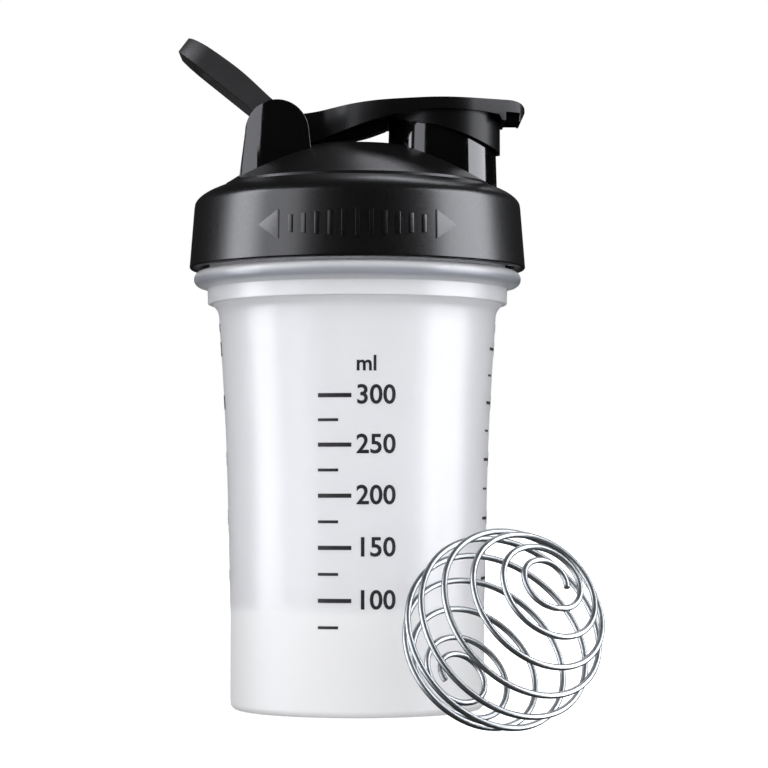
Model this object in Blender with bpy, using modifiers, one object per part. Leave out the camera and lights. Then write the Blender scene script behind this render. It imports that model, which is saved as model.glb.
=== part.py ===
"""Protein shaker bottle with a screw lid, flip cap, carry loop and wire whisk ball.

Metres, +Z up. The origin is the centre of the jar's base, the spout points to +X,
and the carry loop's hinge lies on the -X side of the lid.
"""
import math

import bmesh
import bpy
from mathutils import Vector

MM = 0.001

# Fineness of the turned shapes
RING_STEPS = 48
SMALL_STEPS = 32

# Clearances between pieces
GAP = 0.3 * MM
SIDE_GAP = 0.5 * MM

# Jar: the neck sets the lid's size, and the body hangs under it
JAR_HEIGHT = 137.6 * MM
NECK_R = 41.2 * MM
NECK_HEIGHT = 16.7 * MM
NECK_WALL = 2.1 * MM
JAR_WALL = 1.8 * MM
FLOOR = 2.4 * MM
BASE_CORNER = 1.9 * MM
BEAD_HALF = 2.2 * MM
BEAD_REACH = 4.3 * MM
COLLAR_REACH = 0.4 * MM
COLLAR_HEIGHT = 4.4 * MM
BODY_STEP = 2.7 * MM
UPPER_TAPER = 2.1 * MM
LOWER_TAPER = 1.2 * MM
WAIST_Z = 73.0 * MM
LOWER_Z = 26.0 * MM

NECK_TOP = JAR_HEIGHT
BEAD_R = NECK_R + BEAD_REACH
BEAD_Z = NECK_TOP - NECK_HEIGHT - BEAD_HALF
BEAD_TOP = BEAD_Z + BEAD_HALF
COLLAR_R = NECK_R + COLLAR_REACH
COLLAR_Z = BEAD_Z - BEAD_HALF - COLLAR_HEIGHT
SHOULDER_R = NECK_R - BODY_STEP
SHOULDER_Z = COLLAR_Z - 3.6 * MM
WAIST_R = SHOULDER_R - UPPER_TAPER
BASE_R = WAIST_R - LOWER_TAPER

# Screw thread, right-handed, the same pitch on jar and lid
PITCH = 6.0 * MM
THREAD_TURNS = 1.5
THREAD_WIRE = 1.25 * MM
THREAD_SINK = 0.25 * MM
THREAD_ROOM = 2.4 * MM
NECK_THREAD_Z = BEAD_TOP + 4.6 * MM

# Lid gasket
GASKET_THICK = 1.8 * MM
GASKET_WIDTH = 4.1 * MM

# Screw lid
LID_LIFT = 0.7 * MM
TOP_WALL = 1.9 * MM
SKIRT_WALL = 3.1 * MM
DECK_WALL = 2.6 * MM
DOME_INSET = 4.2 * MM
DOME_STEP = 5.0 * MM
DOME_RISE = 10.6 * MM
DOME_BULGE = 1.2 * MM
CROWN_R = 15.0 * MM
LIP_WALL = 1.2 * MM
LIP_DEPTH = 5.8 * MM

BORE_R = NECK_R + THREAD_ROOM
LID_R = BORE_R + SKIRT_WALL
LID_TOP_R = BORE_R + TOP_WALL
LID_BOTTOM = BEAD_TOP + LID_LIFT
SEAT_Z = NECK_TOP + GASKET_THICK + 2 * GAP
DOME_R = NECK_R - DOME_INSET
DOME_Z = SEAT_Z + DOME_STEP
CROWN_Z = DOME_Z + DOME_RISE
LIP_OUT = NECK_R - NECK_WALL - 1.2 * MM
LIP_IN = LIP_OUT - LIP_WALL
GASKET_OUT = BORE_R - 2 * SIDE_GAP
GASKET_IN = GASKET_OUT - GASKET_WIDTH

# Spout, moulded in one with the lid, just inside the lid's lip
SPOUT_HEIGHT = 7.2 * MM
SPOUT_TOP_R = 14.4 * MM
SPOUT_DRAFT = 0.7 * MM
SPOUT_WALL = 2.0 * MM
SPOUT_TOP = CROWN_Z + SPOUT_HEIGHT
SPOUT_FOOT_R = SPOUT_TOP_R + SPOUT_DRAFT
SPOUT_BORE_R = SPOUT_TOP_R - SPOUT_WALL
SPOUT_X = LIP_IN - 0.7 * MM - SPOUT_BORE_R

# Hinge: barrel in the middle, a loop leg on each side, then the towers
HINGE_X = -22.0 * MM
HINGE_LIFT = 3.6 * MM
BARREL_R = 5.2 * MM
BARREL_HALF = 8.7 * MM
LEG_WIDTH = 3.4 * MM
TOWER_R = 8.8 * MM
TOWER_DROP = 1.1 * MM
TOWER_THICK = 4.7 * MM
TOWER_FLARE = 2.0 * MM
SOCKET_WALL = 1.5 * MM
JOURNAL_R = 2.4 * MM
HINGE_Z = CROWN_Z + HINGE_LIFT
LEG_IN = BARREL_HALF + GAP
LOOP_HALF = LEG_IN + LEG_WIDTH
TOWER_IN = LOOP_HALF + SIDE_GAP
TOWER_OUT = TOWER_IN + TOWER_THICK
SOCKET_END = TOWER_OUT - SOCKET_WALL
JOURNAL_END = SOCKET_END - GAP
SOCKET_R = JOURNAL_R + GAP

# Flip cap, which fits over the spout
CUP_ROOM = 0.8 * MM
CUP_WALL = 1.0 * MM
ROOF_WALL = 3.2 * MM
PLATE_LIP = 1.0 * MM
ARM_LIFT = 0.35 * MM
CUP_DROP = 8.5 * MM
FLANGE_THICK = 1.3 * MM
TAB_HALF = 8.5 * MM
RIB_HALF = 5.0 * MM
TAB_REACH = 6.9 * MM
TAB_THICK = 2.4 * MM
CAP_BORE_R = SPOUT_TOP_R + CUP_ROOM
CAP_R = CAP_BORE_R + CUP_WALL
PLATE_R = CAP_R + PLATE_LIP
CAP_ROOF = SPOUT_TOP + FLANGE_THICK + 2 * GAP
TAB_END = SPOUT_X + CAP_R + TAB_REACH

# Spout stopper
PLUG_ROOM = 0.6 * MM
PLUG_DEPTH = 4.2 * MM
PLUG_WALL = 1.6 * MM
FLANGE_R = CAP_BORE_R - GAP
FLANGE_Z = SPOUT_TOP + GAP
PLUG_R = SPOUT_BORE_R - PLUG_ROOM
PLUG_Z = SPOUT_TOP - PLUG_DEPTH

# Carry loop, drawn along its own length from the hinge axis
LOOP_ANGLE = math.radians(142.7)
LOOP_LENGTH = 36.4 * MM
LOOP_TIP = 6.2 * MM
EYE_R = 5.7 * MM

# Whisk ball, standing beside the jar
BALL_R = 25.5 * MM
WIRE_R = 0.8 * MM
BALL_X = 36.5 * MM
BALL_Y = -73.0 * MM
BALL_AXIS = Vector((0.447, -0.711, 0.542)).normalized()
BALL_TURNS = 8
BALL_STEPS = 20
END_LOOP_R = 7.6 * MM
END_CURL = 0.8


def start_clean():
    for obj in list(bpy.data.objects):
        bpy.data.objects.remove(obj, do_unlink=True)
    made = []
    for name in ("Protein shaker bottle", "Cutters"):
        coll = bpy.data.collections.new(name)
        bpy.context.scene.collection.children.link(coll)
        made.append(coll)
    return made


PARTS, CUTTERS = start_clean()


def material(name, colour, roughness, metallic=0.0, transmission=0.0):
    mat = bpy.data.materials.new(name)
    mat.use_nodes = True
    shader = mat.node_tree.nodes["Principled BSDF"]
    shader.inputs["Base Color"].default_value = (*colour, 1.0)
    shader.inputs["Roughness"].default_value = roughness
    shader.inputs["Metallic"].default_value = metallic
    shader.inputs["Transmission Weight"].default_value = transmission
    mat.diffuse_color = (*colour, 1.0)
    return mat


def add(name, mesh, coll=None):
    """Link a mesh as an object, as a part or, by default, as a hidden cutter."""
    obj = bpy.data.objects.new(name, mesh)
    (coll or CUTTERS).objects.link(obj)
    if coll is not PARTS:
        obj.hide_render = True
        obj.display_type = "WIRE"
    return obj


def finish(obj, mat, angle=35.0):
    obj.data.materials.clear()
    obj.data.materials.append(mat)
    obj.data.shade_smooth()
    obj.data.set_sharp_from_angle(angle=math.radians(angle))


def turned(name, profile, steps=RING_STEPS, coll=None, closed=False):
    """A body turned about Z from (radius, height) points, given down its outer side."""
    mesh = bpy.data.meshes.new(name)
    bm = bmesh.new()
    verts = [bm.verts.new((r, 0.0, z)) for r, z in profile]
    for a, b in zip(verts, verts[1:]):
        bm.edges.new((a, b))
    if closed:
        bm.edges.new((verts[-1], verts[0]))
    bm.to_mesh(mesh)
    bm.free()
    obj = add(name, mesh, coll)
    screw = obj.modifiers.new("Turn", "SCREW")
    screw.axis = "Z"
    screw.steps = steps
    screw.render_steps = steps
    screw.use_merge_vertices = True
    screw.merge_threshold = 0.00001
    screw.use_smooth_shade = True
    return obj


def cylinder(name, radius, low, high, centre=(0.0, 0.0), top_radius=None, along="Z", steps=SMALL_STEPS):
    """A cylinder or cone from low to high along Z, or along Y with centre as (x, z)."""
    mesh = bpy.data.meshes.new(name)
    bm = bmesh.new()
    bmesh.ops.create_cone(
        bm,
        cap_ends=True,
        segments=steps,
        radius1=radius,
        radius2=radius if top_radius is None else top_radius,
        depth=high - low,
    )
    bm.to_mesh(mesh)
    bm.free()
    obj = add(name, mesh)
    middle = (low + high) / 2
    if along == "Z":
        obj.location = (centre[0], centre[1], middle)
    else:
        obj.location = (centre[0], middle, centre[1])
        obj.rotation_euler = (math.radians(-90), 0.0, 0.0)
    return obj


def curve_to_mesh(curve_obj, name, coll=None):
    """Turn a curve object into a welded mesh object in the same place."""
    bpy.context.view_layer.update()
    graph = bpy.context.evaluated_depsgraph_get()
    mesh = bpy.data.meshes.new_from_object(curve_obj.evaluated_get(graph))
    bm = bmesh.new()
    bm.from_mesh(mesh)
    bmesh.ops.remove_doubles(bm, verts=bm.verts, dist=0.000005)
    bmesh.ops.recalc_face_normals(bm, faces=bm.faces)
    bm.to_mesh(mesh)
    bm.free()
    obj = add(name, mesh, coll)
    obj.matrix_world = curve_obj.matrix_world.copy()
    bpy.data.objects.remove(curve_obj, do_unlink=True)
    return obj


def prism(name, outline, half, upright=True, coll=None, bevel=0.0, shift=0.0):
    """A flat outline given thickness: (x, z) points along Y if upright, else (x, y) along Z."""
    data = bpy.data.curves.new(name + "_outline", "CURVE")
    data.dimensions = "2D"
    data.fill_mode = "BOTH"
    data.extrude = half - bevel
    data.bevel_depth = bevel
    data.bevel_resolution = 1
    data.offset = -bevel
    spline = data.splines.new("POLY")
    spline.points.add(len(outline) - 1)
    for point, (a, b) in zip(spline.points, outline):
        point.co = (a, b, 0.0, 1.0)
    spline.use_cyclic_u = True
    guide = bpy.data.objects.new(name + "_outline", data)
    CUTTERS.objects.link(guide)
    if upright:
        guide.rotation_euler = (math.radians(90), 0.0, 0.0)
        guide.location = (0.0, shift, 0.0)
    else:
        guide.location = (0.0, 0.0, shift)
    return curve_to_mesh(guide, name, coll)


def tube(name, points, radius, swell=None, coll=None):
    """A round wire through the points, with filled ends."""
    data = bpy.data.curves.new(name + "_path", "CURVE")
    data.dimensions = "3D"
    data.bevel_depth = radius
    data.bevel_resolution = 2
    data.use_fill_caps = True
    spline = data.splines.new("POLY")
    spline.points.add(len(points) - 1)
    for i, (point, co) in enumerate(zip(spline.points, points)):
        point.co = (*co, 1.0)
        point.radius = 1.0 if swell is None else swell[i]
    guide = bpy.data.objects.new(name + "_path", data)
    CUTTERS.objects.link(guide)
    return curve_to_mesh(guide, name, coll)


def combine(obj, other, how):
    """Add a Boolean: JOIN, CUT or KEEP the shared volume."""
    mod = obj.modifiers.new(other.name, "BOOLEAN")
    mod.operation = {"JOIN": "UNION", "CUT": "DIFFERENCE", "KEEP": "INTERSECT"}[how]
    mod.solver = "EXACT"
    mod.object = other
    return mod


def arc(cx, cy, radius, start, end, count):
    """Points on an arc, angles in degrees."""
    made = []
    for i in range(count + 1):
        a = math.radians(start + (end - start) * i / count)
        made.append((cx + radius * math.cos(a), cy + radius * math.sin(a)))
    return made


def smooth_line(points, per_span=3):
    """A Catmull-Rom line through the points."""
    made = []
    for i in range(len(points) - 1):
        p1 = Vector(points[i])
        p2 = Vector(points[i + 1])
        p0 = Vector(points[i - 1]) if i else 2 * p1 - p2
        p3 = Vector(points[i + 2]) if i + 2 < len(points) else 2 * p2 - p1
        for k in range(per_span):
            t = k / per_span
            a = 2 * p1 + (p2 - p0) * t
            b = (2 * p0 - 5 * p1 + 4 * p2 - p3) * t * t
            c = (3 * p1 - p0 - 3 * p2 + p3) * t * t * t
            made.append(tuple((a + b + c) / 2))
    made.append(tuple(points[-1]))
    return made


def helix(radius, start_z, turns, pitch, wire, start_angle=0.0, per_turn=24):
    """A right-handed ridge whose ends run out to nothing."""
    count = int(round(turns * per_turn))
    points = []
    swell = []
    for i in range(count + 1):
        a = start_angle + 2 * math.pi * turns * i / count
        points.append((radius * math.cos(a), radius * math.sin(a), start_z + pitch * turns * i / count))
        swell.append(min(1.0, 0.35 + 0.65 * min(i, count - i) / 3))
    return tube("ridge_%d" % round(radius / MM * 10), points, wire, swell)


def dome_height(radius):
    """Height of the lid's outer surface at a radius inside the dome."""
    if radius <= CROWN_R:
        return CROWN_Z
    t = (radius - CROWN_R) / (DOME_R - CROWN_R)
    return CROWN_Z - t * (CROWN_Z - DOME_Z) + DOME_BULGE * math.sin(math.pi * min(t, 1.0))


def dome_line(start, end, drop=0.0, count=4):
    """Points down the dome between two radii, a drop below its outer surface."""
    radii = [start + (end - start) * i / count for i in range(count + 1)]
    return [(r, dome_height(r) - drop) for r in radii]


# ---------------------------------------------------------------- jar

def make_jar():
    mat = material("milky_polypropylene", (0.80, 0.81, 0.84), 0.45, transmission=0.35)
    wall = JAR_WALL
    body = smooth_line([(BASE_R, LOWER_Z), (WAIST_R, WAIST_Z), (SHOULDER_R, SHOULDER_Z)], 3)
    inside = [(r - wall, z) for r, z in body]
    profile = [(0.0, FLOOR), (BASE_R - wall - 2.5 * MM, FLOOR), (BASE_R - wall - 0.6 * MM, FLOOR + 1.0 * MM)]
    profile.append((BASE_R - wall, FLOOR + 3.0 * MM))
    profile += inside
    rim = 0.5 * MM
    mouth = NECK_R - NECK_WALL
    profile += [(mouth, COLLAR_Z + 4.0 * MM), (mouth, NECK_TOP - rim), (mouth + rim, NECK_TOP)]
    profile += [(NECK_R - rim, NECK_TOP), (NECK_R, NECK_TOP - rim)]
    profile += [(NECK_R, BEAD_TOP + 0.3 * MM), (NECK_R + 1.2 * MM, BEAD_TOP)]
    profile += arc(BEAD_R - BEAD_HALF, BEAD_Z, BEAD_HALF, 90, -90, 6)
    profile += [(COLLAR_R, BEAD_Z - BEAD_HALF - 0.3 * MM), (COLLAR_R, COLLAR_Z + 0.5 * MM)]
    profile += [(COLLAR_R - 0.4 * MM, COLLAR_Z), (COLLAR_R - 1.6 * MM, COLLAR_Z - 0.5 * MM)]
    profile += [(SHOULDER_R + 0.5 * MM, (COLLAR_Z + SHOULDER_Z) / 2)]
    profile += list(reversed(body))
    profile += arc(BASE_R - BASE_CORNER, BASE_CORNER, BASE_CORNER, 0, -90, 3)
    profile.append((0.0, 0.0))
    jar = turned("jar", profile, coll=PARTS)
    ridge = helix(NECK_R + THREAD_SINK, NECK_THREAD_Z, THREAD_TURNS, PITCH, THREAD_WIRE)
    combine(jar, ridge, "JOIN")
    finish(jar, mat)
    return jar


# ---------------------------------------------------------------- lid

def make_screw_lid():
    mat = material("satin_black_polypropylene", (0.018, 0.018, 0.020), 0.42)
    shoulder = smooth_line(
        [
            (DOME_R + 2.0 * MM, SEAT_Z + 4.0 * MM),
            (LID_TOP_R - 2.5 * MM, SEAT_Z + 2.0 * MM),
            (LID_TOP_R, SEAT_Z - 1.2 * MM),
        ],
        3,
    )
    profile = [(0.0, CROWN_Z), (CROWN_R - 1.5 * MM, CROWN_Z)]
    profile += dome_line(CROWN_R + 1.5 * MM, DOME_R - 0.6 * MM) + [(DOME_R, DOME_Z - 0.7 * MM)]
    profile += shoulder
    profile += [(LID_R, LID_BOTTOM + 0.5 * MM), (LID_R - 0.5 * MM, LID_BOTTOM), (0.0, LID_BOTTOM)]
    lid = turned("screw_lid", profile, coll=PARTS)

    root = SEAT_Z + 1.2 * MM
    spout = cylinder(
        "spout_tube", SPOUT_FOOT_R, root, SPOUT_TOP, (SPOUT_X, 0.0), SPOUT_TOP_R, steps=RING_STEPS
    )
    combine(lid, spout, "JOIN")

    foot = SEAT_Z + 3.0 * MM
    side = [(HINGE_X - TOWER_R - TOWER_FLARE, foot), (HINGE_X + TOWER_R + 1.7 * MM, foot)]
    side += arc(HINGE_X, HINGE_Z - TOWER_DROP, TOWER_R, 0, 180, 14)
    middle = (TOWER_IN + TOWER_OUT) / 2
    half = (TOWER_OUT - TOWER_IN) / 2
    for name, sign in (("near", -1), ("far", 1)):
        tower = prism("tower_" + name, side, half, bevel=0.5 * MM, shift=sign * middle)
        combine(lid, tower, "JOIN")

    under = DECK_WALL
    cavity = [(0.0, CROWN_Z - under)] + dome_line(CROWN_R, LIP_IN, under)
    lip = SEAT_Z - LIP_DEPTH
    cavity += [(LIP_IN, lip), (LIP_OUT, lip), (LIP_OUT, SEAT_Z), (BORE_R, SEAT_Z)]
    cavity += [(BORE_R, LID_BOTTOM - 2.0 * MM), (0.0, LID_BOTTOM - 2.0 * MM)]
    hollow = turned("lid_hollow", cavity)
    combine(lid, hollow, "CUT")

    bore = cylinder(
        "spout_bore", SPOUT_BORE_R, SEAT_Z - 2.0 * MM, SPOUT_TOP + 2.0 * MM, (SPOUT_X, 0.0), steps=RING_STEPS
    )
    combine(lid, bore, "CUT")
    socket = cylinder(
        "hinge_socket", SOCKET_R, -SOCKET_END, SOCKET_END, (HINGE_X, HINGE_Z), along="Y", steps=20
    )
    combine(lid, socket, "CUT")

    ridge = helix(
        BORE_R - THREAD_SINK, NECK_THREAD_Z - PITCH / 2, THREAD_TURNS, PITCH, THREAD_WIRE
    )
    combine(lid, ridge, "JOIN")
    finish(lid, mat)
    return lid


def make_gasket():
    mat = material("grey_silicone", (0.22, 0.23, 0.25), 0.6)
    low = NECK_TOP + GAP
    high = low + GASKET_THICK
    profile = [(GASKET_IN, high), (GASKET_OUT, high), (GASKET_OUT, low), (GASKET_IN, low)]
    gasket = turned("lid_gasket", profile, coll=PARTS, closed=True)
    finish(gasket, mat)
    return gasket


# ---------------------------------------------------------------- flip cap

def hinge_point(name):
    """An empty on the hinge axis, which carries a swinging piece."""
    hinge = bpy.data.objects.new(name, None)
    hinge.empty_display_size = 0.01
    hinge.location = (HINGE_X, 0.0, HINGE_Z)
    PARTS.objects.link(hinge)
    return hinge


def carry(obj, hinge):
    """Parent obj to the hinge where it stands."""
    bpy.context.view_layer.update()
    obj.parent = hinge
    obj.matrix_parent_inverse = hinge.matrix_world.inverted()


def arch(start, end, lift, count=3):
    """Points strictly between two ends, on a shallow arch."""
    made = []
    for i in range(1, count + 1):
        t = i / (count + 1)
        x = start[0] + (end[0] - start[0]) * t
        z = start[1] + (end[1] - start[1]) * t + lift * math.sin(math.pi * t)
        made.append((x, z))
    return made


def cap_side():
    """Side outline of the flip cap, over the top to the tab and back underneath."""
    top = CAP_ROOF + ROOF_WALL
    neck = (HINGE_X + 9.3 * MM, HINGE_Z + BARREL_R + 0.1 * MM)
    brow = (SPOUT_X - CAP_R + 4.3 * MM, top - 0.5 * MM)
    crest = [(HINGE_X, HINGE_Z + BARREL_R), (HINGE_X + 5.0 * MM, HINGE_Z + BARREL_R - 0.3 * MM), neck]
    crest += arch(neck, brow, ARM_LIFT)
    crest += [brow, (SPOUT_X - 2.6 * MM, top - 0.2 * MM), (SPOUT_X + 6.4 * MM, top - 0.2 * MM)]
    crest += [(TAB_END - 7.7 * MM, top), (TAB_END - 3.7 * MM, top), (TAB_END - 1.4 * MM, top - 0.6 * MM)]
    crest += [(TAB_END - 0.3 * MM, top - 1.5 * MM)]
    heel = (HINGE_X + 13.6 * MM, HINGE_Z - 1.2 * MM)
    cheek = (SPOUT_X - CAP_R + 0.4 * MM, SPOUT_TOP - 0.2 * MM)
    belly = [(SPOUT_X, CAP_ROOF - 0.1 * MM), (SPOUT_X - 6.0 * MM, CAP_ROOF - 0.5 * MM)]
    belly += [(SPOUT_X - 11.9 * MM, CAP_ROOF - 1.5 * MM), cheek]
    belly += arch(cheek, heel, 0.3 * MM, 2)
    belly += [heel, (HINGE_X + 12.0 * MM, HINGE_Z - 2.2 * MM), (HINGE_X + 9.5 * MM, HINGE_Z - 3.2 * MM)]
    low = CAP_ROOF - TAB_THICK
    tab = [(TAB_END, top - 2.4 * MM), (TAB_END - 1.4 * MM, low), (TAB_END - 6.8 * MM, low)]
    tab += [(TAB_END - 7.6 * MM, CAP_ROOF - 0.9 * MM), (SPOUT_X + CAP_R - 5.0 * MM, CAP_ROOF - 0.4 * MM)]
    back = [(HINGE_X + 2.0 * MM, HINGE_Z - BARREL_R + 0.6 * MM), (HINGE_X, HINGE_Z - BARREL_R + 1.2 * MM)]
    return smooth_line(crest, 2) + tab + smooth_line(belly, 2) + back


def cup_edge():
    """The cup's lower edge, which drops away from the hinge."""
    made = []
    for i in range(13):
        t = 1.1 * i / 12
        x = SPOUT_X + (2 * t - 1) * CAP_R
        made.append((x, SPOUT_TOP - 0.5 * MM - CUP_DROP * t ** 1.7))
    deep = SPOUT_TOP - 0.5 * MM - 2 * CUP_DROP
    start = SPOUT_X - 1.2 * CAP_R
    return [(start, SPOUT_TOP - 0.5 * MM)] + made + [(made[-1][0], deep), (start, deep)]


def cap_plan():
    """Half outline of the flip cap seen from above, then mirrored."""
    waist = HINGE_X + 14.5 * MM
    half = [(HINGE_X, BARREL_HALF), (waist, BARREL_HALF)]
    half += smooth_line(
        [
            (waist + 0.6 * MM, BARREL_HALF + 0.4 * MM),
            (waist + 3.5 * MM, 0.71 * PLATE_R),
            (waist + 7.5 * MM, 0.84 * PLATE_R),
            (waist + 15.5 * MM, 0.95 * PLATE_R),
            (SPOUT_X - 3.6 * MM, PLATE_R),
        ],
        2,
    )
    half += arc(SPOUT_X, 0.0, PLATE_R, 88, 60, 6)
    half += [(TAB_END - 3.4 * MM, TAB_HALF - 0.1 * MM), (TAB_END - 1.4 * MM, TAB_HALF - 1.9 * MM)]
    half += [(TAB_END - 0.3 * MM, TAB_HALF - 4.3 * MM), (TAB_END, TAB_HALF - 7.0 * MM)]
    return half + [(x, -y) for x, y in reversed(half)]


def arm_rib():
    """Side outline of the stiffening rib under the arm, from the barrel to the cup."""
    start = HINGE_X + 13.0 * MM
    cup = SPOUT_X - CAP_R + 0.3 * MM
    span = cup - start
    low = [(HINGE_X + 4.0 * MM, HINGE_Z - 2.4 * MM), (HINGE_X + 9.5 * MM, HINGE_Z - 3.0 * MM)]
    low += [(start, HINGE_Z - 2.0 * MM), (start + 0.383 * span, HINGE_Z - 1.4 * MM)]
    low += [(start + 0.695 * span, HINGE_Z - 0.3 * MM), (cup, SPOUT_TOP - 1.9 * MM)]
    high = [(cup, CAP_ROOF - 1.4 * MM), (start, HINGE_Z + 1.0 * MM)]
    return low + high + [(HINGE_X + 4.0 * MM, HINGE_Z)]


def make_flip_cap():
    mat = material("satin_black_cap", (0.020, 0.020, 0.022), 0.38)
    cap = prism("flip_cap", cap_side(), PLATE_R + 2.0 * MM, coll=PARTS)

    plan = prism("cap_plan", cap_plan(), 15.0 * MM, upright=False, shift=(HINGE_Z + SPOUT_TOP) / 2)
    combine(cap, plan, "KEEP")

    roof = CAP_ROOF + ROOF_WALL / 3
    cup = cylinder("cap_cup", CAP_R, SPOUT_TOP - 2 * CUP_DROP, roof, (SPOUT_X, 0.0), steps=RING_STEPS)
    below = prism("cup_edge", cup_edge(), CAP_R + 3.0 * MM)
    combine(cup, below, "CUT")
    combine(cap, cup, "JOIN")
    deep = SPOUT_TOP - 3 * CUP_DROP
    hollow = cylinder("cup_hollow", CAP_BORE_R, deep, CAP_ROOF, (SPOUT_X, 0.0), steps=RING_STEPS)
    combine(cap, hollow, "CUT")

    inner = TAB_END - 6.2 * MM
    outer = TAB_END - 3.0 * MM
    high = CAP_ROOF - 0.1 * MM
    grip = prism(
        "tab_hollow",
        [(inner, high - TAB_THICK), (outer, high - TAB_THICK), (outer, high), (inner, high)],
        TAB_HALF - 3.0 * MM,
    )
    combine(cap, grip, "CUT")
    rib = prism("arm_rib", arm_rib(), RIB_HALF)
    combine(cap, rib, "JOIN")

    barrel = cylinder("cap_barrel", BARREL_R, -BARREL_HALF, BARREL_HALF, (HINGE_X, HINGE_Z), along="Y")
    combine(cap, barrel, "JOIN")
    journal = cylinder(
        "cap_journal", JOURNAL_R, -JOURNAL_END, JOURNAL_END, (HINGE_X, HINGE_Z), along="Y", steps=20
    )
    combine(cap, journal, "JOIN")
    finish(cap, mat)
    hinge = hinge_point("cap_hinge")
    for obj in (cap, plan, cup, below, hollow, grip, rib, barrel, journal):
        carry(obj, hinge)
    return cap, hinge


def make_stopper(hinge):
    mat = material("dark_elastomer", (0.05, 0.05, 0.055), 0.6)
    high = FLANGE_Z + FLANGE_THICK
    profile = [(0.0, high), (FLANGE_R, high), (FLANGE_R, FLANGE_Z), (PLUG_R, FLANGE_Z)]
    profile += [(PLUG_R, PLUG_Z + 0.8 * MM), (PLUG_R - 0.8 * MM, PLUG_Z), (PLUG_R - PLUG_WALL, PLUG_Z)]
    profile += [(PLUG_R - PLUG_WALL, FLANGE_Z), (0.0, FLANGE_Z)]
    stopper = turned("spout_stopper", profile, steps=SMALL_STEPS, coll=PARTS)
    stopper.location = (SPOUT_X, 0.0, 0.0)
    finish(stopper, mat)
    carry(stopper, hinge)
    return stopper


# ---------------------------------------------------------------- carry loop

def make_carry_loop():
    """Drawn lying along +X from the hinge axis with its crest downwards, then swung back."""
    mat = material("satin_black_loop", (0.020, 0.020, 0.022), 0.40)
    end = LOOP_LENGTH
    crest = [(0.0, EYE_R), (6.8 * MM, EYE_R + 0.2 * MM), (end / 2, EYE_R + 1.2 * MM)]
    crest += [(end - 7.3 * MM, EYE_R + 0.9 * MM), (end - 0.9 * MM, EYE_R + 0.2 * MM)]
    side = smooth_line(crest, 3) + [(end, 5.0 * MM), (end, 1.8 * MM)]
    side += [(end - 0.9 * MM, 1.0 * MM), (end - 10.3 * MM, 0.7 * MM), (9.0 * MM, 0.3 * MM)]
    side += [(5.0 * MM, -1.8 * MM)] + arc(0.0, 0.0, EYE_R, -50, -270, 12)[:-1]
    side = [(x, -z) for x, z in side]
    loop = prism("carry_loop", side, LOOP_HALF + 1.0 * MM, coll=PARTS)

    corner = 7.5 * MM
    back = -EYE_R - 2.3 * MM
    outer = [(back, -LOOP_HALF)]
    outer += arc(LOOP_LENGTH - corner, -LOOP_HALF + corner, corner, -90, 0, 6)
    outer += arc(LOOP_LENGTH - corner, LOOP_HALF - corner, corner, 0, 90, 6)
    outer += [(back, LOOP_HALF)]
    deep = 2 * EYE_R + 3.0 * MM
    plan = prism("loop_plan", outer, deep, upright=False)

    inside = LEG_IN
    tip = LOOP_LENGTH - LOOP_TIP
    turn = 5.0 * MM
    hole = [(back - 1.0 * MM, -inside)]
    hole += arc(tip - turn, -inside + turn, turn, -90, 0, 5)
    hole += arc(tip - turn, inside - turn, turn, 0, 90, 5)
    hole += [(back - 1.0 * MM, inside)]
    finger = prism("loop_hole", hole, deep + 1.0 * MM, upright=False)
    eye = cylinder("loop_eye", SOCKET_R, -LOOP_HALF - 2 * MM, LOOP_HALF + 2 * MM, along="Y", steps=20)

    combine(loop, plan, "KEEP")
    combine(loop, finger, "CUT")
    combine(loop, eye, "CUT")

    hinge = hinge_point("loop_hinge")
    hinge.rotation_euler = (0.0, -LOOP_ANGLE, 0.0)
    for obj in (loop, plan, finger, eye):
        obj.parent = hinge
    finish(loop, mat)
    return loop


# ---------------------------------------------------------------- whisk ball

def ball_path():
    """A spherical spiral between two end loops, with each wire end curled in a little."""
    side = BALL_AXIS.cross(Vector((0.0, 0.0, 1.0))).normalized()
    up = side.cross(BALL_AXIS).normalized()
    reach = BALL_R - WIRE_R
    first = math.asin(END_LOOP_R / reach)
    half = BALL_TURNS / 2
    count = int((half + END_CURL) * BALL_STEPS)
    points = []
    for i in range(-count, count + 1):
        turn = i / BALL_STEPS
        past = max(0.0, abs(turn) - half)
        u = max(-1.0, min(1.0, turn / half))
        tilt = (math.pi / 2 - first) * (1.08 * u - 0.08 * u**3)
        tilt += math.copysign(math.radians(7.5) * max(0.0, past - 0.15), u)
        radius = reach * (1.0 - 0.09 * max(0.0, past - 0.15))
        around = math.radians(-90) - 2 * math.pi * turn
        ring = side * math.cos(around) + up * math.sin(around)
        points.append(ring * (radius * math.cos(tilt)) - BALL_AXIS * (radius * math.sin(tilt)))
    return points


def make_ball():
    mat = material("polished_steel", (0.72, 0.72, 0.74), 0.12, metallic=1.0)
    points = ball_path()
    lowest = min(p.z for p in points) - WIRE_R
    centre = Vector((BALL_X, BALL_Y, -lowest))
    ball = tube("whisk_ball", [tuple(p + centre) for p in points], WIRE_R, coll=PARTS)
    finish(ball, mat, 60.0)
    return ball


def main():
    make_jar()
    make_screw_lid()
    make_gasket()
    _, hinge = make_flip_cap()
    make_stopper(hinge)
    make_carry_loop()
    make_ball()


main()
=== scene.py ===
import math

import bmesh
import bpy
from mathutils import Matrix, Vector


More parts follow.
